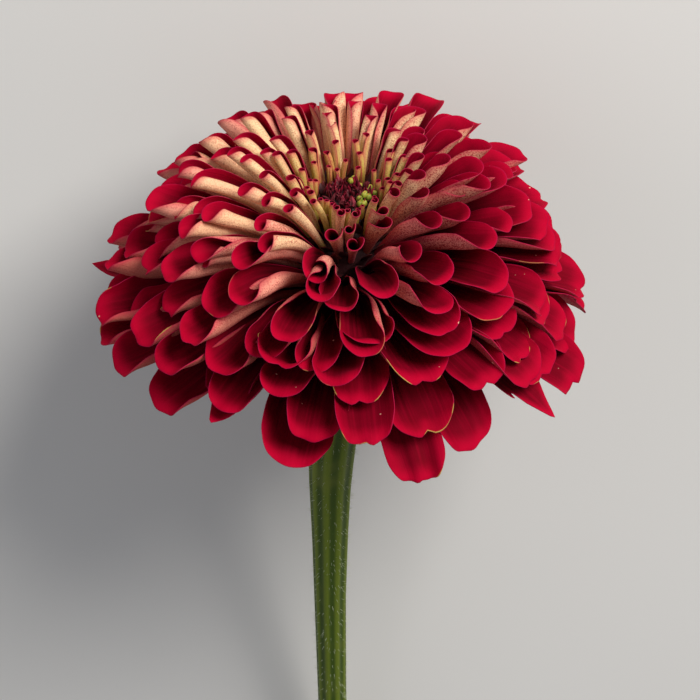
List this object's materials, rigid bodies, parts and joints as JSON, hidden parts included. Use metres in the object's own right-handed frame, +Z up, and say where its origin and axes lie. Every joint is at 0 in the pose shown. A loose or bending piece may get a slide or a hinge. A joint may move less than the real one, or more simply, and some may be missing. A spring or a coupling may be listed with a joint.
{
  "type": "zinnia flower",
  "caption": "Cut double zinnia with a domed head of rolled and broad ray petals on a bare stem, lying on its side.",
  "frame": {"origin": "bottom centre of the bounding box, on the surface that the cut flower lies on", "axes": "+Z up; the flower's face looks to -Y and a little up, and the stem runs to +Y, its cut end on the surface"},
  "size_m": [0.0994, 0.1828, 0.0935],
  "materials": {
    "outer_petals": "soft velvety petal, deep crimson with magenta edges",
    "spoon_petals": "velvety petal, crimson inside and pinkish cream outside",
    "quills": "rolled petal, cream and tan velvety outside, crimson inside",
    "disc": "matte dark crimson chaffy scales",
    "bracts": "matte green leafy scales with dark edges",
    "receptacle": "matte pale green",
    "stem": "ribbed hairy green stem, satin"
  },
  "bodies": {
    "root": {"outer_petal_01": "outer_petals", "outer_petal_02": "outer_petals", "outer_petal_03": "outer_petals", "outer_petal_04": "outer_petals", "outer_petal_05": "outer_petals", "outer_petal_06": "outer_petals", "outer_petal_07": "outer_petals", "outer_petal_08": "outer_petals", "outer_petal_09": "outer_petals", "outer_petal_10": "outer_petals", "outer_petal_11": "outer_petals", "outer_petal_12": "outer_petals", "outer_petal_13": "outer_petals", "outer_petal_14": "outer_petals", "outer_petal_15": "outer_petals", "outer_petal_16": "outer_petals", "outer_petal_17": "outer_petals", "outer_petal_18": "outer_petals", "outer_petal_19": "outer_petals", "outer_petal_20": "outer_petals", "outer_petal_21": "outer_petals", "outer_petal_22": "outer_petals", "outer_petal_23": "outer_petals", "outer_petal_24": "outer_petals", "outer_petal_25": "outer_petals", "outer_petal_26": "outer_petals", "outer_petal_27": "outer_petals", "outer_petal_28": "outer_petals", "outer_petal_29": "outer_petals", "outer_petal_30": "outer_petals", "outer_petal_31": "outer_petals", "outer_petal_32": "outer_petals", "outer_petal_33": "outer_petals", "outer_petal_34": "outer_petals", "outer_petal_35": "outer_petals", "outer_petal_36": "outer_petals", "outer_petal_37": "outer_petals", "outer_petal_38": "outer_petals", "outer_petal_39": "outer_petals", "quill_whorl_1": "quills", "quill_whorl_2": "quills", "quill_whorl_3": "quills", "quill_whorl_4": "quills", "spoon_whorl_1": "spoon_petals", "spoon_whorl_2": "spoon_petals", "spoon_whorl_3": "spoon_petals", "spoon_whorl_4": "spoon_petals", "spoon_whorl_5": "spoon_petals", "spoon_whorl_6": "spoon_petals", "spoon_whorl_7": "spoon_petals", "spoon_whorl_8": "spoon_petals", "bracts_inner": "bracts", "bracts_middle": "bracts", "bracts_outer": "bracts", "disc_florets": "disc", "receptacle": "receptacle", "stem": "stem"}
  },
  "joints": []
}
